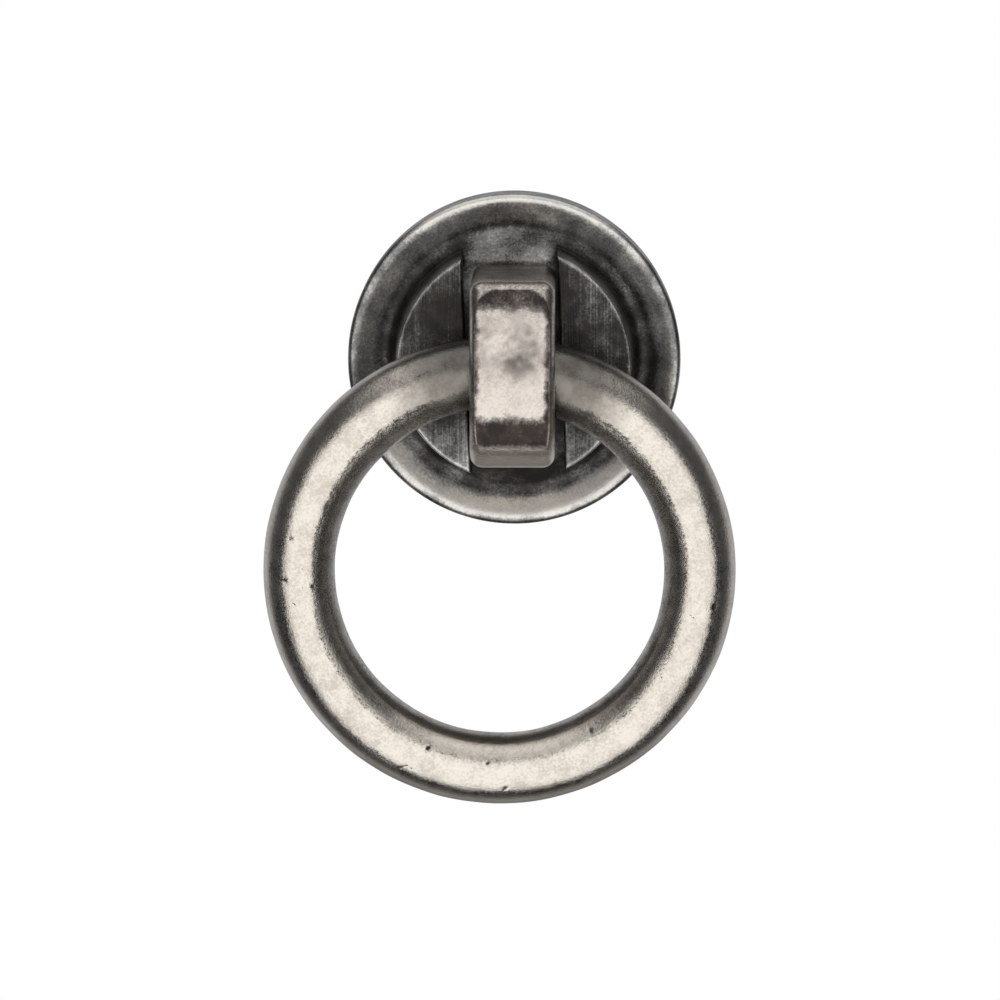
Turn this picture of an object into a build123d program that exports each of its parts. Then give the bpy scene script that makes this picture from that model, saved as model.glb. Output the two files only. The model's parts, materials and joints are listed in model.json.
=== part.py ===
"""Drop pull for a drawer: a ring hung in the eye of a post that stands in a round dished rose.

Millimetres, +Z up. The drawer face is the plane Y = 0 and the front looks along -Y, so a point at the
height h above the drawer face lies at Y = -h. The origin is where the fixing axis meets the drawer face.
"""
from build123d import *
from math import atan, cos, degrees, radians, sqrt, tan
import os

# Rose: round casting with a rounded lip, a shallow dish and a raised boss
rose_d = 31.75
rim_h = 4.1
lip_round = 0.65
back_round = 0.3
dish_floor_h = 2.6
boss_d = 22.2
boss_h = 8.0
boss_draft_deg = 5.0
boss_foot_round = 1.2
boss_edge_round = 0.25
channel_depth = 3.0

# Ring: closed round bar
ring_outer_d = 44.45
ring_bar_d = 6.8
ring_boss_gap = 2.1
ring_lean_deg = 3.8
ring_hang = 0.3

# Post: block with rounded ends and a crowned front, standing in the channel of the boss
post_w = 7.9
post_end_wall = 4.05
post_taper = 0.6
post_front_wall = 2.05
front_crown = 1.4
post_end_round = 3.0
post_edge_round = 0.9
eye_mouth_round = 0.4
spigot_d = 6.5

# Fixing thread: M4, modelled at its tapping size
thread_hole_d = 3.3
thread_end_wall = 1.2

# Clearances
eye_clear = 0.25
channel_clear = 0.55
channel_play_used = 0.7
spigot_clear = 0.1
spigot_short = 0.3

# The bar's bend lifts its middle above its ends over the width of the post, and the bar hangs a little
# below the middle of the eye, so the eye is wider than the bar
bar_r = ring_bar_d / 2
ring_r = ring_outer_d / 2 - bar_r
half_w = post_w / 2
bar_sag = ring_r - sqrt(ring_r ** 2 - half_w ** 2)
lean_slope = tan(radians(ring_lean_deg))
bar_slope = half_w / (ring_r - bar_sag) + lean_slope
eye_r = bar_r / cos(atan(bar_slope)) + bar_sag / 2 + half_w * lean_slope + ring_hang + eye_clear
eye_h = boss_h + ring_boss_gap + bar_r

# The post follows the eye, and the channel follows the post
post_front_h = eye_h + eye_r + post_front_wall
post_half_l = eye_r + post_end_wall
foot_half_l = post_half_l + post_taper
channel_floor_h = boss_h - channel_depth
channel_w = post_w + 2 * channel_clear
rose_turn_deg = channel_play_used * degrees(atan(channel_clear / foot_half_l))
bore_r = spigot_d / 2 + spigot_clear
thread_end_h = eye_h - eye_r - thread_end_wall


def at(radius, height):
    """Point of a turned outline: distance from the fixing axis and height above the drawer face."""
    return (radius, -height)


def make_rose():
    """Plate turned about the fixing axis, with the channel cut straight across its boss."""
    rim_r = rose_d / 2
    lip_r = rim_r - lip_round
    boss_r = boss_d / 2
    foot_r = boss_r + (boss_h - dish_floor_h) * tan(radians(boss_draft_deg))
    with BuildSketch() as section:
        with BuildLine():
            Polyline(at(boss_r, boss_h), at(bore_r, boss_h), at(bore_r, 0), at(rim_r, 0))
            Line(at(rim_r, 0), at(rim_r, rim_h - lip_round))
            CenterArc(at(lip_r, rim_h - lip_round), lip_round, 0, -90)
            Polyline(at(lip_r, rim_h), at(foot_r, dish_floor_h), at(boss_r, boss_h))
        make_face()
        corners = section.vertices()
        fillet(corners.sort_by_distance(at(foot_r, dish_floor_h))[0], boss_foot_round)
        fillet(section.vertices().sort_by_distance(at(rim_r, 0))[0], back_round)
    plate = revolve(section.sketch, Axis.Y)
    channel = Pos(0, -boss_h, 0) * Box(channel_w, 2 * channel_depth, rose_d)
    plate -= Rot(0, -rose_turn_deg, 0) * channel
    face_edges = plate.edges().filter_by_position(Axis.Y, -boss_h - 0.01, -boss_h + 0.01)
    return fillet(face_edges, boss_edge_round)


def make_ring_post():
    """Block drawn in side view, pierced by the eye, with its tapped spigot behind."""
    front_corner_h = post_front_h - front_crown
    with BuildSketch(Plane.YZ) as side:
        with BuildLine():
            ThreePointArc((-front_corner_h, post_half_l), (-post_front_h, 0), (-front_corner_h, -post_half_l))
            Polyline(
                (-front_corner_h, -post_half_l),
                (-channel_floor_h, -foot_half_l),
                (-channel_floor_h, foot_half_l),
                (-front_corner_h, post_half_l),
            )
        make_face()
        fillet(side.vertices().sort_by(Axis.X)[:2], post_end_round)
    block = extrude(side.sketch, half_w, both=True)
    foot_edges = block.edges().filter_by_position(Axis.Y, -channel_floor_h - 0.01, -channel_floor_h + 0.01)
    side_edges = block.faces().sort_by(Axis.X)[0].edges() + block.faces().sort_by(Axis.X)[-1].edges()
    block = fillet([edge for edge in side_edges if edge not in foot_edges], post_edge_round)
    block -= Pos(0, -eye_h, 0) * Rot(0, 90, 0) * Cylinder(eye_r, 2 * post_w)
    mouths = block.edges().filter_by(GeomType.CIRCLE).filter_by(lambda edge: abs(edge.radius - eye_r) < 0.001)
    block = fillet(mouths, eye_mouth_round)
    spigot_l = channel_floor_h - spigot_short
    block += Pos(0, -channel_floor_h + spigot_l / 2, 0) * Rot(90, 0, 0) * Cylinder(spigot_d / 2, spigot_l)
    thread_l = thread_end_h - spigot_short
    thread = Cylinder(thread_hole_d / 2, thread_l)
    return block - Pos(0, -spigot_short - thread_l / 2, 0) * Rot(90, 0, 0) * thread


def make_ring():
    """Closed ring whose bar passes through the eye, leaning to one side in the loose fit."""
    hanging = Pos(0, 0, bar_sag / 2 - ring_r - ring_hang) * Rot(90, 0, 0) * Torus(ring_r, bar_r)
    return Pos(0, -eye_h, 0) * Rot(0, ring_lean_deg, 0) * hanging


os.makedirs("parts", exist_ok=True)
export_step(make_rose(), "parts/rose.step")
export_step(make_ring_post(), "parts/ring_post.step")
export_step(make_ring(), "parts/ring.step")
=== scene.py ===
import json
import math

import bpy
import numpy as np
from mathutils import Matrix, Vector, noise


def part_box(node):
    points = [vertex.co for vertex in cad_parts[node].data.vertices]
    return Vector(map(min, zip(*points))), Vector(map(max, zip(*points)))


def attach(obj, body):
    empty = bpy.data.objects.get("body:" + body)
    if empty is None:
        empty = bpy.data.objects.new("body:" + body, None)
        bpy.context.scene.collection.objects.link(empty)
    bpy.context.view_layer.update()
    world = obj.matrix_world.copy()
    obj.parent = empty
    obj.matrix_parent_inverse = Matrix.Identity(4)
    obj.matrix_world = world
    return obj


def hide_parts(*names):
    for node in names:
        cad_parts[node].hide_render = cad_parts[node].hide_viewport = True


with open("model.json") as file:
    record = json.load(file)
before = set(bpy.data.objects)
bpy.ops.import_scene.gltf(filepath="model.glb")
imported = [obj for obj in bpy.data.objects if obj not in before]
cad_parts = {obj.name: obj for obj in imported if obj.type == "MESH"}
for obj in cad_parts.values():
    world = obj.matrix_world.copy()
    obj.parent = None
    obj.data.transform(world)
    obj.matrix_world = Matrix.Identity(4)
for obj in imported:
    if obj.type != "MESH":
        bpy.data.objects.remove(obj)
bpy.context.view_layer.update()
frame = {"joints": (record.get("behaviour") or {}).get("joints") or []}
MM = 0.001

# The rose: a round plate cast in brass and blackened, with a rounded lip, a shallow dish and a raised boss.
# A channel is milled straight across the boss for the post. Buffing has brought back bright metal on the
# lip and on the edges of the boss only. Its colour also holds painted light: a painted highlight on the top
# of the lip, painted light low in the dish and at the channel's upper end, and painted shade beside the post
# and on the lip's outer edge low down. The screw that holds the post clamps the rose to the drawer.
ROSE_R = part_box("rose")[1].z / MM
BOSS_H = -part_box("rose")[0].y / MM
RIM_H = 4.1
LIP_ROUND = 0.65
LIP_ROUND_SHORT = 0.0001
LIP_SOFTENED_W = 0.35
LIP_SOFTENED_TIMES = 12
BACK_ROUND = 0.3
DISH_FLOOR_H = 2.6
BOSS_R = 11.1
BOSS_DRAFT = math.radians(5)
BOSS_FOOT_ROUND = 1.2
BOSS_EDGE_ROUND = 0.25
BORE_R = 3.35
CHANNEL_W = 9.0
CHANNEL_RUN = 24.0
CHANNEL_FLOOR_H = 5.0
CHANNEL_TURN = math.radians(2.39)
CHANNEL_END_FROM_R = 9.6
CHANNEL_END_TO_R = 12.4
CHANNEL_END_DROP = 1.75
ROSE_SPOKES = 360
ROSE_STEP = 0.2
CUTTER_STEP = 0.3
CUTTER_SLICES = 180


def arc(centre, radius, start, end, count):
    """Points on an arc, in degrees from the first axis towards the second."""
    angles = np.radians(np.linspace(start, end, count))
    return [(centre[0] + radius * math.cos(a), centre[1] + radius * math.sin(a)) for a in angles]


def rounded(before, corner, after, radius, count):
    """Points on the arc that rounds off a corner between two straight runs."""
    before, corner, after = (np.array(p, float) for p in (before, corner, after))
    back, on = ((p - corner) / np.linalg.norm(p - corner) for p in (before, after))
    opening = math.acos(back @ on) / 2
    middle = corner + (back + on) / np.linalg.norm(back + on) * radius / math.sin(opening)
    first, last = (corner + way * radius / math.tan(opening) - middle for way in (back, on))
    sweep = math.pi - 2 * opening
    points = []
    for t in np.linspace(0, 1, count):
        spoke = first * math.sin((1 - t) * sweep) + last * math.sin(t * sweep)
        points.append(tuple(middle + spoke / math.sin(sweep)))
    return points


def filled_in(outline, step):
    """A closed outline with points added on every run longer than the step."""
    points = []
    for here, there in zip(outline, outline[1:] + outline[:1]):
        here, there = np.array(here), np.array(there)
        count = max(1, round(np.linalg.norm(there - here) / step))
        points += [here + (there - here) * i / count for i in range(count)]
    return np.array(points)


def places(piece):
    """The piece's vertices in millimetres."""
    co = np.zeros(len(piece.data.vertices) * 3)
    piece.data.vertices.foreach_get("co", co)
    return co.reshape(-1, 3) / MM


def skin(name, points, capped=False):
    """Solid over loops of points in millimetres, joined end to end or stacked between two flat ends."""
    rows, columns = points.shape[:2]
    index = np.arange(rows * columns).reshape(rows, columns)
    ends = [index[0].tolist(), index[-1, ::-1].tolist()] if capped else []
    index = np.hstack([index, index[:, :1]])
    if not capped:
        index = np.vstack([index, index[:1]])
    quads = np.stack([index[:-1, :-1], index[1:, :-1], index[1:, 1:], index[:-1, 1:]], axis=-1)
    mesh = bpy.data.meshes.new(name)
    mesh.from_pydata((points.reshape(-1, 3) * MM).tolist(), [], quads.reshape(-1, 4).tolist() + ends)
    mesh.update()
    made = bpy.data.objects.new(name, mesh)
    bpy.context.scene.collection.objects.link(made)
    # A solid with a volume below zero is inside out, and is turned right side out.
    mesh.calc_loop_triangles()
    corners = np.zeros(len(mesh.loop_triangles) * 3, int)
    mesh.loop_triangles.foreach_get("vertices", corners)
    first, second, third = places(made)[corners.reshape(-1, 3)].transpose(1, 0, 2)
    if np.sum(first * np.cross(second, third)) < 0:
        mesh.flip_normals()
    return made


def machined(piece, tool, operation):
    """Joins a tool's shape to a piece, or cuts it out, and removes the tool."""
    modifier = piece.modifiers.new("machining", "BOOLEAN")
    modifier.object = tool
    modifier.operation = operation
    modifier.solver = "EXACT"
    depsgraph = bpy.context.evaluated_depsgraph_get()
    mesh = bpy.data.meshes.new_from_object(piece.evaluated_get(depsgraph))
    piece.modifiers.clear()
    piece.data = mesh
    bpy.data.objects.remove(tool)


def smooth(piece, sharp_deg):
    """Shades the piece smooth, apart from edges sharper than the angle."""
    mesh = piece.data
    mesh.polygons.foreach_set("use_smooth", np.ones(len(mesh.polygons), bool))
    mesh.set_sharp_from_angle(angle=math.radians(sharp_deg))


def note(piece, name, values):
    """Keeps one number for each vertex, for the material to read."""
    attribute = piece.data.attributes.new(name, "FLOAT", "POINT")
    attribute.data.foreach_set("value", np.clip(values, 0, 1).astype(np.float32))


def near(values, middle, width):
    """1 at the middle, falling to 0 over about the width."""
    return np.exp(-(((values - middle) / width) ** 2))


def ramp(values, zero_at, one_at):
    """0 up to one value, 1 from the other on, and rising straight between them."""
    return np.clip((values - zero_at) / (one_at - zero_at), 0, 1)


def wander(points, *waves):
    """Smooth random numbers for points, from the size of each wave in millimetres and its strength."""
    total = 0
    for size, strength in waves:
        total = total + strength * np.array([noise.noise(Vector(p / size)) for p in points])
    return total


foot_r = BOSS_R + (BOSS_H - DISH_FLOOR_H) * math.tan(BOSS_DRAFT)
lip_r = ROSE_R - LIP_ROUND
lip, foot, boss_edge = (lip_r, RIM_H), (foot_r, DISH_FLOOR_H), (BOSS_R, BOSS_H)

# Half section of the rose: from the bore round the back, over the lip, through the dish and over the boss.
# The lip's round stops a hair short of the lip's inner edge.
rose_outline = [(BORE_R, 0)]
rose_outline += rounded((BORE_R, 0), (ROSE_R, 0), (ROSE_R, RIM_H), BACK_ROUND, 6)
rose_outline += rounded((ROSE_R, 0), (ROSE_R, RIM_H), lip, LIP_ROUND - LIP_ROUND_SHORT, 12)
rose_outline += rounded(lip, foot, boss_edge, BOSS_FOOT_ROUND, 16)
rose_outline += rounded(foot, boss_edge, (BORE_R, BOSS_H), BOSS_EDGE_ROUND, 7)
rose_outline += [(BORE_R, BOSS_H)]
section = filled_in(rose_outline, ROSE_STEP)

# Buffing has softened the inner edge of the lip.
for _ in range(LIP_SOFTENED_TIMES):
    beside = (np.roll(section, 1, axis=0) + np.roll(section, -1, axis=0)) / 2
    softened = near(np.hypot(section[:, 0] - lip_r, section[:, 1] - RIM_H), 0, LIP_SOFTENED_W)
    section = section + 0.5 * softened[:, None] * (beside - section)
spokes = np.linspace(0, 2 * math.pi, ROSE_SPOKES, endpoint=False)
rose_points = np.stack(
    [
        np.outer(np.cos(spokes), section[:, 0]),
        np.outer(np.ones(ROSE_SPOKES), -section[:, 1]),
        np.outer(np.sin(spokes), section[:, 0]),
    ],
    axis=-1,
)
rose = skin("rose_casting", rose_points)

# The milling cutter for the channel flares at its top, which leaves the channel's edges rounded over. Its
# foot drops at both ends of the run, so that the channel's floor slopes down into the dish.
half = CHANNEL_W / 2
flare = BOSS_EDGE_ROUND
cutter_outline = [(-half, CHANNEL_FLOOR_H), (half, CHANNEL_FLOOR_H)]
cutter_outline += arc((half + flare, BOSS_H - flare), flare, 180, 90, 7)
cutter_outline += [(half + flare, BOSS_H + 1), (-half - flare, BOSS_H + 1)]
cutter_outline += arc((-half - flare, BOSS_H - flare), flare, 90, 0, 7)
cutter_section = filled_in(cutter_outline, CUTTER_STEP)
cutter_run = np.linspace(-CHANNEL_RUN / 2, CHANNEL_RUN / 2, CUTTER_SLICES)
cutter_r = np.hypot(cutter_run[:, None], cutter_section[None, :, 0])
past = ramp(cutter_r, CHANNEL_END_FROM_R, CHANNEL_END_TO_R)
drop = CHANNEL_END_DROP * past ** 2 * (3 - 2 * past)
cutter_foot = cutter_section[:, 1] < CHANNEL_FLOOR_H + 0.01
cutter_points = np.stack(
    [
        np.tile(cutter_section[:, 0], (CUTTER_SLICES, 1)),
        drop * cutter_foot - cutter_section[:, 1],
        np.tile(cutter_run[:, None], (1, len(cutter_section))),
    ],
    axis=-1,
)
cutter = skin("channel_cutter", cutter_points, capped=True)
cutter.data.transform(Matrix.Rotation(-CHANNEL_TURN, 4, "Y"))
machined(rose, cutter, "DIFFERENCE")
smooth(rose, 40)

# Wear, painted light and painted shade of the rose, from 0, black, to 1, buffed bright. Places are in
# millimetres.
BACK_WEAR = 0.32
OUTSIDE_WEAR = 0.5
LIP_WEAR = 0.52
# Painted dark reflection on the lip's outer edge low down.
LIP_LOW_EDGE_SHADE = 0.46
DISH_WEAR = 0.54
GROOVE_WEAR = 0.24
BOSS_WEAR = 0.22
# Painted light at the channel's upper end, where the groove round the boss lies in shade.
CHANNEL_END_LIGHT = 0.42
x, y, z = places(rose).T
height = -y
radius = np.hypot(x, z)
across = np.abs(x * math.cos(CHANNEL_TURN) + z * math.sin(CHANNEL_TURN))
at_top = ramp(z / radius, 0.55, 0.9)
at_foot = ramp(-z / radius, 0.4, 0.8)
at_right = ramp(x / radius, 0.6, 0.9)
beside_top = ramp(np.abs(x) / radius, 0.15, 0.65)

# The plate is dark in the groove round the boss and half worn in the dish and on the lip. The top of the lip
# has a painted highlight, low down the dish and the lip are painted lighter as painted light from above, and
# the lip's outer edge low down has a painted dark reflection. The outer side of the lip stays dull.
# Painted light: low down, where the dish faces the light from above, it is made lighter.
low_dish_wear_and_light = np.interp(radius, [12.7, 13.6, 14.6], [0.36, 0.66, 1.0])
dish_wear_and_light = DISH_WEAR + (low_dish_wear_and_light - DISH_WEAR) * at_foot
# Painted highlight: the lip is lighter at its top and less so beside the top. Low down it is a little
# lighter too, as painted light.
lip_wear_and_light = LIP_WEAR + (0.5 - 0.3 * beside_top) * at_top + 0.14 * at_foot
into_dish = ramp(radius - 0.5 * at_right, 12.7, 13.5)
into_lip = ramp(radius, 15.0 - 0.2 * beside_top, 15.35)
plate_wear_and_light = GROOVE_WEAR + (dish_wear_and_light - GROOVE_WEAR) * into_dish + (lip_wear_and_light - dish_wear_and_light) * into_lip
# Painted dark reflection: low down, the lip's outer edge is made darker.
plate_wear_and_light += (LIP_LOW_EDGE_SHADE - plate_wear_and_light) * ramp(radius, ROSE_R - 0.5, ROSE_R - 0.3) * at_foot
outside = (height < RIM_H - LIP_ROUND) & (radius > lip_r)
plate_wear_and_light = np.where(outside, OUTSIDE_WEAR, plate_wear_and_light)

# The boss is nearly black, a little brighter on its wall, round its edge, along the channel and low down on
# its face, and darkest beside the post, where the darkening is painted shade. The channel's upper end is
# painted lighter, to half worn, where it meets the dish, a painted light over the shade of the groove there.
on_face = height > BOSS_H - 0.3
boss_wear_and_shade = BOSS_WEAR + 0.2 * (height < BOSS_H - 0.3) * (height > DISH_FLOOR_H + 0.6)
boss_wear_and_shade += 0.34 * near(radius, BOSS_R - 0.08, 0.22) * (height > BOSS_H - 0.4)
boss_wear_and_shade += 0.12 * near(across, half + 0.12, 0.15) * on_face
boss_wear_and_shade += 0.12 * ramp(z, -4, -7) * on_face
# Painted shade: the boss's face beside the post, above its low part, is made darker.
boss_wear_and_shade -= 0.1 * near(across, half, 2.5) * on_face * (z > -4)
in_channel = (across < half + 0.05) & (height > 2 * BACK_ROUND)
boss_wear_and_shade = np.where(in_channel, BOSS_WEAR, boss_wear_and_shade)
rose_wear_and_light = np.where(radius > foot_r, plate_wear_and_light, boss_wear_and_shade)
# Painted light: the channel's upper end is made lighter where it meets the dish.
channel_end_light = ramp(across, half + 1.2, half - 1.2) * ramp(z, 8.9, 9.7) * ramp(radius, 13.8, 12.4)
channel_end_light *= (height > DISH_FLOOR_H - 0.3) & (height < BOSS_H - 0.5)
rose_wear_and_light = np.maximum(rose_wear_and_light, CHANNEL_END_LIGHT * channel_end_light)
on_back = height < BACK_ROUND
rose_wear_and_light = np.where(on_back, BACK_WEAR, rose_wear_and_light)
patchy = np.where(on_back | (radius > ROSE_R - 0.01), 0.1, 0.2) * wander(places(rose), (3.0, 1))
# The brightness noted here is wear together with the painted light and painted shade above.
note(rose, "brightness", rose_wear_and_light + patchy)
note(rose, "brushed", (height > BOSS_H - 0.02) & (radius < BOSS_R - 0.1))


def linear(colour):
    """Linear colour of an sRGB hex value."""
    values = [int(colour[i:i + 2], 16) / 255 for i in (1, 3, 5)]
    return [v / 12.92 if v <= 0.04045 else ((v + 0.055) / 1.055) ** 2.4 for v in values] + [1]


def add(tree, kind, inputs=None, out=0, **settings):
    """Adds a node with its settings and its inputs, plain values or linked outputs, and gives one output."""
    made = tree.nodes.new(kind)
    for name, value in settings.items():
        setattr(made, name, value)
    for name, value in (inputs or {}).items():
        if isinstance(value, bpy.types.NodeSocket):
            tree.links.new(value, made.inputs[name])
        else:
            made.inputs[name].default_value = value
    return made.outputs[out] if len(made.outputs) else None


# The metal's patterns, in millimetres: blotches left by the blackening bath, the grain of a sand casting and
# its grit, and the lines of a wire brush. Grit and brush lines are finer on the real casting, a few
# hundredths of a millimetre, and are drawn as coarse as they need to be to show.
BLOTCH_SIZE = 1.6
GRAIN_SIZE = 0.26
GRIT_SIZE = 0.1
BRUSH_LINE_W = 0.16
BRUSH_LINE_L = 10
BRUSH_LINE_WEAR = 0.14
BRUSH_LINE_DEPTH = 0.02


def aged_brass(name, tones, rag, soft, relief_mm, black_rough, buffed_rough, brushed=False):
    """Cast brass, blackened in a bath and then buffed.

    It is bright where the wheel reached and brown-black where it didn't; on the rose its brightness
    attribute also carries painted light and shade. Each pattern, from blotch to grit, frays the border
    between the two by its share of rag, and soft is half the border's width. The grain and the grit also
    stand up by relief_mm, which breaks up the shine.
    """
    material = bpy.data.materials.new(name)
    material.use_nodes = True
    tree = material.node_tree
    tree.nodes.clear()
    blackened, browned, greyed, tarnished, buffed = (linear(tone) for tone in tones)
    place = add(tree, "ShaderNodeTexCoord", out="Object")
    # The brightness attribute holds wear, and on the rose it holds painted light and shade as well.
    brightness = add(tree, "ShaderNodeAttribute", out="Fac", attribute_name="brightness")
    film = add(tree, "ShaderNodeAttribute", out="Fac", attribute_name="tarnished")

    patterns = []
    for size_mm in (BLOTCH_SIZE, GRAIN_SIZE, GRIT_SIZE):
        settings = {"Vector": place, "Scale": 1 / MM / size_mm, "Detail": 4, "Roughness": 0.6}
        patterns.append(add(tree, "ShaderNodeTexNoise", settings, out="Fac"))
    blotch, grain, grit = patterns
    border = -sum(rag) / 2
    for pattern, strength in zip((blotch, grain, grit), rag):
        border = add(tree, "ShaderNodeMath", {0: pattern, 1: strength, 2: border}, operation="MULTIPLY_ADD")
    border = add(tree, "ShaderNodeMath", {0: border, 1: brightness}, operation="ADD")
    relief = 0.0
    for pattern, depth in zip((grain, grit), relief_mm):
        relief = add(tree, "ShaderNodeMath", {0: pattern, 1: depth, 2: relief}, operation="MULTIPLY_ADD")

    if brushed:
        stretch = (1 / MM / BRUSH_LINE_W, 1.0, 1 / MM / BRUSH_LINE_L)
        along = add(tree, "ShaderNodeMapping", {"Vector": place, "Scale": stretch})
        lines = add(tree, "ShaderNodeTexNoise", {"Vector": along, "Scale": 1.0, "Detail": 3}, out="Fac")
        limits = {"Value": lines, "From Min": 0.35, "From Max": 0.8}
        lines = add(tree, "ShaderNodeMapRange", limits, interpolation_type="SMOOTHSTEP")
        flat = add(tree, "ShaderNodeAttribute", out="Fac", attribute_name="brushed")
        lines = add(tree, "ShaderNodeMath", {0: lines, 1: flat}, operation="MULTIPLY")
        worn = {0: lines, 1: BRUSH_LINE_WEAR, 2: border}
        border = add(tree, "ShaderNodeMath", worn, operation="MULTIPLY_ADD")
        raised = {0: lines, 1: BRUSH_LINE_DEPTH, 2: relief}
        relief = add(tree, "ShaderNodeMath", raised, operation="MULTIPLY_ADD")

    limits = {"Value": border, "From Min": 0.5 - soft, "From Max": 0.5 + soft}
    bright = add(tree, "ShaderNodeMapRange", limits, interpolation_type="SMOOTHSTEP")
    mottle = add(tree, "ShaderNodeMath", {0: blotch, 1: grain}, operation="ADD")

    # Each share, and the roughness, follows a pattern or the brightness between two limits.
    shares = []
    for value, low, high, first, last in (
        (mottle, 0.7, 1.2, 0, 1),
        (blotch, 0.4, 0.65, 0, 1),
        (bright, 0, 0.6, 0, 1),
        (bright, 0.45, 1, 0, 1),
        (blotch, 0.3, 0.7, 0.35, 0.9),
        (bright, 0, 1, black_rough, buffed_rough),
    ):
        limits = {"Value": value, "From Min": low, "From Max": high, "To Min": first, "To Max": last}
        shares.append(add(tree, "ShaderNodeMapRange", limits, interpolation_type="SMOOTHSTEP"))
    clean_share, brown_share, grey_share, metal_share, film_share, rough = shares
    metal = add(tree, "ShaderNodeMix", {0: clean_share, 6: tarnished, 7: buffed}, out=2, data_type="RGBA")
    black = add(tree, "ShaderNodeMix", {0: brown_share, 6: blackened, 7: browned}, out=2, data_type="RGBA")
    dark = add(tree, "ShaderNodeMix", {0: grey_share, 6: black, 7: greyed}, out=2, data_type="RGBA")
    colour = add(tree, "ShaderNodeMix", {0: metal_share, 6: dark, 7: metal}, out=2, data_type="RGBA")
    dulled = add(tree, "ShaderNodeMix", {0: film_share, 6: browned, 7: greyed}, out=2, data_type="RGBA")
    colour = add(tree, "ShaderNodeMix", {0: film, 6: colour, 7: dulled}, out=2, data_type="RGBA")
    bump = add(tree, "ShaderNodeBump", {"Height": relief, "Strength": 1.0, "Distance": MM})
    surface = {"Base Color": colour, "Roughness": rough, "Metallic": 1.0, "Normal": bump}
    shader = add(tree, "ShaderNodeBsdfPrincipled", surface)
    add(tree, "ShaderNodeOutputMaterial", {"Surface": shader})
    return material


# Blackened brass, left mostly as it came from the bath: a soft dark sheen with pale, grainy edges, and fine
# upright brush lines on the face of the boss. Tones: black, brown, grey, tarnished metal and bright metal.
ROSE_TONES = ("#3A3836", "#46423F", "#989795", "#D8D6D3", "#EFEAE2")
rose.data.materials.append(
    aged_brass(
        "blackened_brass",
        ROSE_TONES,
        rag=(0.4, 0.4, 0.35),
        soft=0.4,
        relief_mm=(0.02, 0.012),
        black_rough=0.42,
        buffed_rough=0.3,
        brushed=True,
    )
)
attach(rose, "base")
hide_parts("rose")

# The post: a brass casting with rounded ends and a crowned front, pierced from side to side by the eye.
# A round spigot on its foot goes through the rose, tapped for the fixing screw. Its front is buffed bright.
post_low, post_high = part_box("ring_post")
POST_W = (post_high.x - post_low.x) / MM
POST_FRONT_H = -post_low.y / MM
FOOT_HALF_L = (post_high.z - post_low.z) / 2 / MM
UPPER_TAPER = 0.3
LOWER_TAPER = 0.6
FRONT_CROWN = 1.4
UPPER_ROUND = 1.0
LOWER_ROUND = 3.0
SIDE_EDGE_W = 0.65
SIDE_EDGE_DEPTH = 1.4
CORNER_ROUND = 1.2
EYE_R = 4.5536
EYE_MOUTH_ROUND = 0.4
SPIGOT_R = 3.25
SPIGOT_END_H = -post_high.y / MM
SPIGOT_IN_FOOT = 0.5
SPIGOT_LOOPS = 12
SPIGOT_SIDES = 96
THREAD_R = 1.65
THREAD_OUTER_R = 2.0
THREAD_PITCH = 0.7
THREAD_END_H = 7.746
THREAD_SIDES = 48
TURNED_START = 0.3
POST_SPOKES = 400
eye_h = -frame["joints"][0]["pos_m"][1] / MM

half_w = POST_W / 2
front_half_l = FOOT_HALF_L - LOWER_TAPER
crown_r = (front_half_l ** 2 + FRONT_CROWN ** 2) / 2 / FRONT_CROWN
flank_h = POST_FRONT_H - FRONT_CROWN - CHANNEL_FLOOR_H


# Side outline: straight flanks, a crowned front and rounded ends. The sharp outline is drawn in by the end
# radius and grown again, which rounds its ends.
def side_distance(h, z):
    """How far a point lies outside the rounded side outline, leaving out its straight foot."""
    inset = np.where(z > 0, UPPER_ROUND, LOWER_ROUND)
    crown_gap = np.hypot(h - (POST_FRONT_H - crown_r), z) - (crown_r - inset)
    slope = np.arctan2(np.where(z > 0, UPPER_TAPER, LOWER_TAPER), flank_h)
    flank = (np.abs(z) - FOOT_HALF_L) * np.cos(slope) + (h - CHANNEL_FLOOR_H) * np.sin(slope) + inset
    both = np.hypot(np.maximum(crown_gap, 0), np.maximum(flank, 0)) - inset
    return both + np.minimum(np.maximum(crown_gap, flank), 0)


foot_turn = math.atan2(FOOT_HALF_L, CHANNEL_FLOOR_H - eye_h)
even_turns = np.linspace(-math.pi, math.pi, POST_SPOKES - 2, endpoint=False)
turns = np.sort(np.append(even_turns, [foot_turn, -foot_turn]))


def drawn_in(depth, corner_depth):
    """Points on the side outline, drawn in by a depth at each point, apart from its foot."""
    corner = math.atan2(FOOT_HALF_L - corner_depth, CHANNEL_FLOOR_H - eye_h)
    ways = np.interp(turns, [-math.pi, -foot_turn, foot_turn, math.pi], [-math.pi, -corner, corner, math.pi])
    low, high = np.full(POST_SPOKES, EYE_R), np.full(POST_SPOKES, 2 * FOOT_HALF_L)
    for _ in range(50):
        reach = (low + high) / 2
        h, z = eye_h + reach * np.cos(ways), reach * np.sin(ways)
        outside = np.maximum(side_distance(h, z) + depth, CHANNEL_FLOOR_H - h) > 0
        high, low = np.where(outside, reach, high), np.where(outside, low, reach)
    return np.stack([h, z])


def round_eye(radius):
    """Circle round the eye's axis."""
    return np.stack([eye_h + radius * np.cos(turns), radius * np.sin(turns)])


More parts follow.
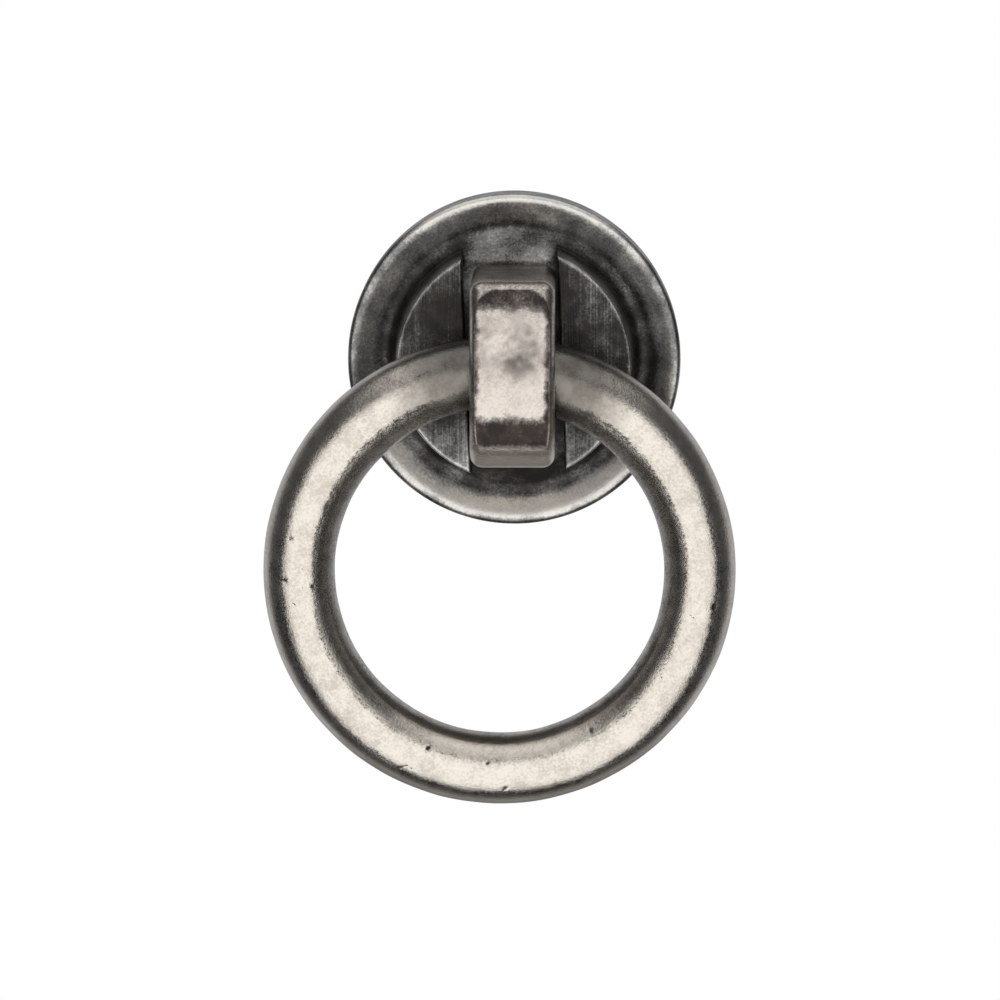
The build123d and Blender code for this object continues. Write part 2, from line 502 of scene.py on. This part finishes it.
# Loops of points run across the front, over the edge and down one side, over the eye's mouth, through the
# eye and back up the other side. Edges are narrow along the front and rounder at the corners.
mouth_r = EYE_R + EYE_MOUTH_ROUND
rim = drawn_in(0 * turns, 0)
at_corner = ramp(np.abs(rim[1]), 5.0, 8.0)
edge_w = SIDE_EDGE_W + (CORNER_ROUND - SIDE_EDGE_W) * at_corner
edge_depth = SIDE_EDGE_DEPTH + (CORNER_ROUND - SIDE_EDGE_DEPTH) * at_corner
across_front = [(t * (half_w - edge_w), rim) for t in np.linspace(-1, 1, 28)]
over_side = []
for t in np.radians(np.linspace(0, 90, 13)[1:]):
    loop = drawn_in(edge_depth * (1 - math.cos(t)), CORNER_ROUND * (1 - math.cos(t)))
    over_side.append((half_w - edge_w * (1 - math.sin(t)), loop))
for t in np.linspace(0, 1, 14)[1:]:
    over_side.append((half_w, loop * (1 - t) + round_eye(mouth_r) * t))
for t in np.radians(np.linspace(0, 90, 6)[1:]):
    mouth = round_eye(mouth_r - EYE_MOUTH_ROUND * math.sin(t))
    over_side.append((half_w - EYE_MOUTH_ROUND * (1 - math.cos(t)), mouth))
eye_half_w = half_w - EYE_MOUTH_ROUND
through_eye = [(x, round_eye(EYE_R)) for x in np.linspace(eye_half_w, -eye_half_w, 24)[1:-1]]
loops = across_front + over_side + through_eye + [(-x, points) for x, points in reversed(over_side)]
post_points = np.stack(
    [np.stack([x + 0 * turns, -points[0], points[1]], axis=-1) for x, points in loops]
)
post = skin("ring_post_casting", post_points)


def turned(name, radii, heights, sides):
    """Solid turned about the fixing axis, from its radius at each height and each angle round the axis.

    Its first point lies a part of a step past the post's own points, so that no two points fall together.
    """
    angles = (np.arange(sides) + TURNED_START) * 2 * math.pi / sides
    rings = []
    for r, h in zip(radii, heights):
        rings.append(np.stack([r * np.cos(angles), np.full(sides, -h), r * np.sin(angles)], axis=-1))
    return skin(name, np.array(rings), capped=True)


spigot_heights = np.linspace(SPIGOT_END_H, CHANNEL_FLOOR_H + SPIGOT_IN_FOOT, SPIGOT_LOOPS)
machined(post, turned("spigot", [SPIGOT_R] * SPIGOT_LOOPS, spigot_heights, SPIGOT_SIDES), "UNION")
thread_heights = np.arange(SPIGOT_END_H - THREAD_PITCH, THREAD_END_H, THREAD_PITCH / 10)
thread_turns = np.linspace(0, 1, THREAD_SIDES, endpoint=False)
thread_radii = []
for h in thread_heights:
    from_root = np.abs(2 * ((h / THREAD_PITCH - thread_turns) % 1) - 1)
    thread_radii.append(THREAD_R + (THREAD_OUTER_R - THREAD_R) * from_root)
machined(post, turned("screw_tap", thread_radii, thread_heights, THREAD_SIDES), "DIFFERENCE")
smooth(post, 40)

# Wear of the post, from 0, black, to 1, buffed bright. The wheel has buffed a field in the middle of the
# front. Round it lies a dark band, and outside that a pale border along the edges and the low end.
FLANK_WEAR = 0.52
FIELD_WEAR = 0.9
BAND_UPPER_WEAR = 0.26
BAND_LOWER_WEAR = 0.14
BORDER_UPPER_WEAR = 0.63
BORDER_LOWER_WEAR = 0.66
FIELD_MIDDLE_X = -0.12
FIELD_HALF_W = 2.35
FIELD_TOP_Z = 5.8
FIELD_LOW_Z = -2.9
FIELD_CORNER = 0.85
BAND_CORNER = 2.6
x, y, z = places(post).T
front = ramp(-y, 15.5, 17.0)
uneven = wander(places(post), (2.2, 1), (0.6, 0.8))
off_side = np.abs(x - FIELD_MIDDLE_X) - FIELD_HALF_W
off_end = np.maximum(z - FIELD_TOP_Z, FIELD_LOW_Z - z)
off_field = np.hypot(np.maximum(off_side, 0), np.maximum(off_end, 0)) - FIELD_CORNER + 0.35 * uneven
field = np.clip(0.5 - off_field / np.where(off_end > off_side, 1.7, 0.8), 0, 1)
past_side = np.abs(x) - half_w + BAND_CORNER
past_end = np.where(z > 0, z - FOOT_HALF_L + UPPER_TAPER, -z - front_half_l) + BAND_CORNER
to_edge = np.hypot(np.maximum(past_side, 0), np.maximum(past_end, 0))
to_edge += np.minimum(np.maximum(past_side, past_end), 0)
border_w = np.interp(z, [-8, -6.5, -4, 6, 8], [1.2, 0.9, 0.7, 0.7, 0.85])
border = ramp(to_edge, BAND_CORNER - border_w, BAND_CORNER - border_w + 0.25)
border *= np.where(z > 0, BORDER_UPPER_WEAR, BORDER_LOWER_WEAR)
low_end = ramp(z, -5.8, -7.0)
band = np.where(z > 0, BAND_UPPER_WEAR, BAND_LOWER_WEAR)

# Handling has dulled a patch right of the middle of the field, and a film of tarnish lies over its upper
# half.
dull = near(z, 1.5, 1.6) * (0.4 + 0.6 * near(x, 0.9, 1.7)) * np.clip(0.75 + 0.6 * uneven, 0, 1)
upper = ramp(z, 0.6, 3.6) * np.clip(0.3 + 0.4 * uneven, 0, 1)
front_wear = np.maximum((FIELD_WEAR - 0.1 * dull) * field, np.maximum(border, low_end))
note(post, "brightness", np.maximum(front_wear, band) * front + FLANK_WEAR * (1 - front))
note(post, "tarnished", (0.95 * dull + upper) * field * front)

# Part-buffed brass: a bright, slightly warm field with a ragged edge, and brown-black metal round it. Tones:
# black, brown, grey, tarnished metal and bright metal.
POST_TONES = ("#3A3635", "#4A3F3B", "#98918B", "#CFC4BB", "#E6DDD3")
post.data.materials.append(
    aged_brass(
        "part_buffed_brass",
        POST_TONES,
        rag=(0.5, 0.5, 0.4),
        soft=0.4,
        relief_mm=(0.022, 0.014),
        black_rough=0.4,
        buffed_rough=0.26,
    )
)
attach(post, "base")
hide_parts("ring_post")

# The ring: a round brass bar closed into a ring and linked through the eye, buffed bright nearly all over.
# The buffing wheel couldn't reach the stretch in and beside the post, so the metal stays dull there.
ring_low, ring_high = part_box("ring")
BAR_R = (ring_high.y - ring_low.y) / 2 / MM
RING_R = (ring_high.x - ring_low.x) / 2 / MM - BAR_R
RING_STEPS = 640
BAR_STEPS = 140
ring_centre = (ring_low + ring_high) / 2 / MM
round_ring = np.linspace(0, 2 * math.pi, RING_STEPS, endpoint=False)
round_bar = np.linspace(0, 2 * math.pi, BAR_STEPS, endpoint=False)
u, v = np.meshgrid(round_ring, round_bar, indexing="ij")
out_x, out_z = np.sin(u), np.cos(u)
ring_points = np.stack(
    [
        ring_centre.x + (RING_R + BAR_R * np.cos(v)) * out_x,
        ring_centre.y + BAR_R * np.sin(v),
        ring_centre.z + (RING_R + BAR_R * np.cos(v)) * out_z,
    ],
    axis=-1,
)
ring_normals = np.stack([np.cos(v) * out_x, np.sin(v), np.cos(v) * out_z], axis=-1)

# Shallow waves of the casting: length and depth in millimetres
WAVES = ((4.5, 0.07), (2.0, 0.03))
for wave_mm, depth in WAVES:
    waves = wander(ring_points.reshape(-1, 3), (wave_mm, 1)).reshape(u.shape)
    ring_points -= ring_normals * (depth * (0.5 + 0.5 * waves))[..., None]

# Nicks and pits from use: place round the ring from the top, place round the bar from the front outwards,
# both in degrees, then length and width in millimetres, slant in degrees and depth in millimetres.
NICKS = (
    (101.8, -6, 1.0, 0.22, 60, 0.07),
    (98.0, 26, 0.5, 0.4, 0, 0.098),
    (268.9, 20, 0.45, 0.35, 20, 0.098),
    (280.4, 16, 0.55, 0.35, 70, 0.098),
    (272.3, -7, 0.22, 0.22, 0, 0.056),
    (266.9, -24, 0.35, 0.25, 0, 0.084),
    (262.2, 8, 0.8, 0.2, 40, 0.07),
    (122.1, -16, 0.4, 0.25, 10, 0.084),
    (266.5, -7, 0.2, 0.2, 0, 0.042),
    (202.2, -20, 0.8, 0.3, 80, 0.098),
    (206.1, 22, 1.6, 0.16, 50, 0.056),
    (183.3, -18, 0.35, 0.3, 0, 0.07),
    (178.3, 23, 0.6, 0.3, 30, 0.098),
    (149.7, -33, 0.5, 0.25, 90, 0.084),
    (204.1, 20, 0.25, 0.2, 0, 0.056),
)
nicked = np.zeros(u.shape)
for around_deg, over_deg, length, width, slant_deg, depth in NICKS:
    along = (u - math.radians(around_deg)) * RING_R
    side = (((v + math.pi / 2) - math.radians(over_deg) + math.pi) % (2 * math.pi) - math.pi) * BAR_R
    slant = math.radians(slant_deg)
    lengthwise = (along * math.cos(slant) + side * math.sin(slant)) / (length / 2)
    widthwise = (side * math.cos(slant) - along * math.sin(slant)) / (width / 2)
    nick = np.exp(-lengthwise ** 2 - widthwise ** 2)
    ring_points -= ring_normals * (depth * nick)[..., None]
    nicked = np.maximum(nicked, nick)
ring = skin("ring_casting", ring_points)
smooth(ring, 60)

# Wear of the ring, from 0, black, to 1, buffed bright. It is bright along the front, with an uneven dark
# line along each flank and a faint parting line of the mould. Faces that look up are rubbed clean, as far
# inwards as the turn given. Places round the bar are in degrees, from the front outwards.
BAR_WEAR = 0.95
NICK_LOSS = 0.6
PARTING_LOSS = 0.2
CLEAN_INNER_TURN = -52
from_eye = np.linalg.norm(places(ring) - np.array([0, -eye_h, 0]), axis=1)
uneven = wander(places(ring), (3.5, 4), (1.2, 3))
over = (np.degrees(v).ravel() + 270) % 360 - 180
upwards = (np.cos(v) * np.cos(u)).ravel()
facing_up = np.clip(1.5 * upwards, 0, 1)
facing_down = np.clip(-1.5 * upwards, 0, 1)
kept_clean = facing_up * (over > CLEAN_INNER_TURN)
eye_loss = np.interp(from_eye, [5, 9, 13], [0.12, 0.1, 0])
outer_loss = np.interp(over + uneven - 8 * facing_down, [0, 19, 23, 27, 34], [0, 0.05, 0.28, 0.45, 0.3])
outer_loss -= 0.2 * ramp(over + 6 * facing_down, 46, 55)
inner_places = [0, 17, 20, 25, 32, 60, 120, 165]
inner_loss = np.interp(uneven - over, inner_places, [0, 0.05, 0.28, 0.45, 0.3, 0.3, 0.3, 0.1])
flank_loss = np.where(over > 0, outer_loss, inner_loss) * (1 - 0.75 * kept_clean)
parting_loss = PARTING_LOSS * near(over, -20, 3) * facing_up
note(ring, "brightness", BAR_WEAR - flank_loss - parting_loss - eye_loss - NICK_LOSS * nicked.ravel())

# Tarnish is thick beside the eye, and lies in thin streaks inside the ring and along its outer flank.
by_eye = np.interp(from_eye, [5, 8.5, 12.5], [0.95, 0.8, 0]) * (1 + 0.1 * facing_up)
inside = np.interp(uneven / 2 - over, [20, 30, 68, 78, 120], [0, 0.55, 0.6, 0.2, 0]) * (1 - kept_clean)
outside = np.interp(over + uneven / 2 - 6 * facing_down, [22, 29, 38, 48], [0, 0.3, 0.3, 0])
outside *= 1 - facing_up
note(ring, "tarnished", np.maximum(by_eye, np.maximum(inside, outside)))

# Buffed brass: a bright, nearly silver shine with fine dark grit in it, brown in the dark lines. Tones:
# black, brown, grey, tarnished metal and bright metal.
RING_TONES = ("#33302D", "#463D36", "#85817B", "#D2C9BE", "#F0E8DC")
ring.data.materials.append(
    aged_brass(
        "buffed_brass",
        RING_TONES,
        rag=(0.3, 0.6, 0.9),
        soft=0.22,
        relief_mm=(0.024, 0.015),
        black_rough=0.4,
        buffed_rough=0.22,
    )
)
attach(ring, "ring")
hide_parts("ring")

# The room: dark to the sides, with a white backdrop behind the pull that its metal mirrors as a soft grey.
# The backdrop stops part of the way up, and above it the room is dark again.
ROOM_LIGHT = 0.08
BACKDROP_IN_METAL = 0.5
world = bpy.data.worlds.new("studio_room")
bpy.context.scene.world = world
world.use_nodes = True
tree = world.node_tree
tree.nodes.clear()
rays = add(tree, "ShaderNodeLightPath").node.outputs
way = add(tree, "ShaderNodeTexCoord", out="Generated")
way = add(tree, "ShaderNodeSeparateXYZ", {"Vector": way}).node.outputs
above = add(tree, "ShaderNodeMath", {0: way["Z"], 1: 0.0}, operation="MAXIMUM")
behind = add(tree, "ShaderNodeMath", {0: above, 1: -0.55, 2: way["Y"]}, operation="MULTIPLY_ADD")
limits = {"Value": behind, "From Min": 0.25, "From Max": 0.5, "To Max": BACKDROP_IN_METAL}
backdrop = add(tree, "ShaderNodeMapRange", limits, interpolation_type="SMOOTHSTEP")
in_metal = add(tree, "ShaderNodeMath", {0: rays["Is Glossy Ray"], 1: backdrop}, operation="MULTIPLY")
in_metal = add(tree, "ShaderNodeMath", {0: in_metal, 1: ROOM_LIGHT}, operation="MAXIMUM")
straight = {0: rays["Is Camera Ray"], 1: rays["Is Transmission Ray"]}
to_eye = add(tree, "ShaderNodeMath", straight, operation="MAXIMUM")
shown = add(tree, "ShaderNodeMath", {0: to_eye, 1: in_metal}, operation="MAXIMUM")
tints = {0: to_eye, 6: linear("#F2F4FA"), 7: linear("#FFFFFF")}
tint = add(tree, "ShaderNodeMix", tints, out=2, data_type="RGBA")
sky = add(tree, "ShaderNodeBackground", {"Color": tint, "Strength": shown})
add(tree, "ShaderNodeOutputWorld", {"Surface": sky})

# The floor: a sheet of white paper that lies below and behind the pull, as white to the eye as the backdrop.
# Paper is matt and even, with a faint cloudiness. Its fibres are a few hundredths of a millimetre wide, and
# are drawn coarser to show.
FLOOR_LEVEL = -0.3
FLOOR_CORNERS = ((-0.2, 0.05), (0.2, 0.05), (0.2, 0.6), (-0.2, 0.6))
FIBRE_SIZE = 1.0
floor_mesh = bpy.data.meshes.new("floor")
floor_mesh.from_pydata([(x, y, FLOOR_LEVEL) for x, y in FLOOR_CORNERS], [], [(0, 1, 2, 3)])
floor = bpy.data.objects.new("floor", floor_mesh)
bpy.context.scene.collection.objects.link(floor)
paper = bpy.data.materials.new("white_paper")
paper.use_nodes = True
tree = paper.node_tree
tree.nodes.clear()
place = add(tree, "ShaderNodeTexCoord", out="Object")
fibre = add(tree, "ShaderNodeTexNoise", {"Vector": place, "Scale": 1 / MM / FIBRE_SIZE}, out="Fac")
tones = {0: fibre, 6: linear("#EEEDEB"), 7: linear("#F4F3F1")}
tone = add(tree, "ShaderNodeMix", tones, out=2, data_type="RGBA")
matt = add(tree, "ShaderNodeBsdfDiffuse", {"Color": tone})
rays = add(tree, "ShaderNodeLightPath").node.outputs
glow = add(tree, "ShaderNodeEmission", {"Color": linear("#FFFFFF"), "Strength": 1.0})
cover = add(tree, "ShaderNodeMixShader", {0: rays["Is Camera Ray"], 1: matt, 2: glow})
add(tree, "ShaderNodeOutputMaterial", {"Surface": cover})
floor_mesh.materials.append(paper)


# The lights: a large softbox in front, which reaches well below the pull, and a weaker one overhead. Both
# are even sheets of white light, so the buffed metal shows them as broad soft highlights.
def softbox(name, place, aim, size, radiance):
    """Rectangular soft light of an even brightness, out of the camera's sight."""
    lamp = bpy.data.lights.new(name, "AREA")
    lamp.shape = "RECTANGLE"
    lamp.size, lamp.size_y = size
    lamp.energy = radiance * math.pi * size[0] * size[1]
    made = bpy.data.objects.new(name, lamp)
    made.location = place
    made.rotation_euler = (Vector(aim) - Vector(place)).to_track_quat("-Z", "Y").to_euler()
    made.visible_camera = False
    bpy.context.scene.collection.objects.link(made)


softbox("front_softbox", place=(0, -0.6, -0.49), aim=(0, 0, -0.49), size=(1.25, 1.62), radiance=1.0)
softbox("top_softbox", place=(0, -0.35, 0.6), aim=(0, -0.35, 0), size=(0.9, 1.0), radiance=0.72)

# The camera: a long lens nearly half a metre away, in front of the pull and a little above it. The picture
# is square, and the lens is given by its length in parts of the picture's width.
CAMERA_TARGET = Vector((-1.41, 0, -14.1)) * MM
CAMERA_AWAY = 450 * MM
CAMERA_ABOVE = math.radians(8.4)
CAMERA_ROUND = math.radians(0.9)
CAMERA_LENS = 4.657
camera_data = bpy.data.cameras.new("camera")
camera_data.sensor_width = 36
camera_data.lens = camera_data.sensor_width * CAMERA_LENS
camera = bpy.data.objects.new("camera", camera_data)
level = math.cos(CAMERA_ABOVE)
towards = Vector((math.sin(CAMERA_ROUND) * level, -math.cos(CAMERA_ROUND) * level, math.sin(CAMERA_ABOVE)))
camera.location = CAMERA_TARGET + towards * CAMERA_AWAY
camera.rotation_euler = (-towards).to_track_quat("-Z", "Y").to_euler()
bpy.context.scene.collection.objects.link(camera)
bpy.context.scene.camera = camera
bpy.context.scene.view_settings.view_transform = "Standard"
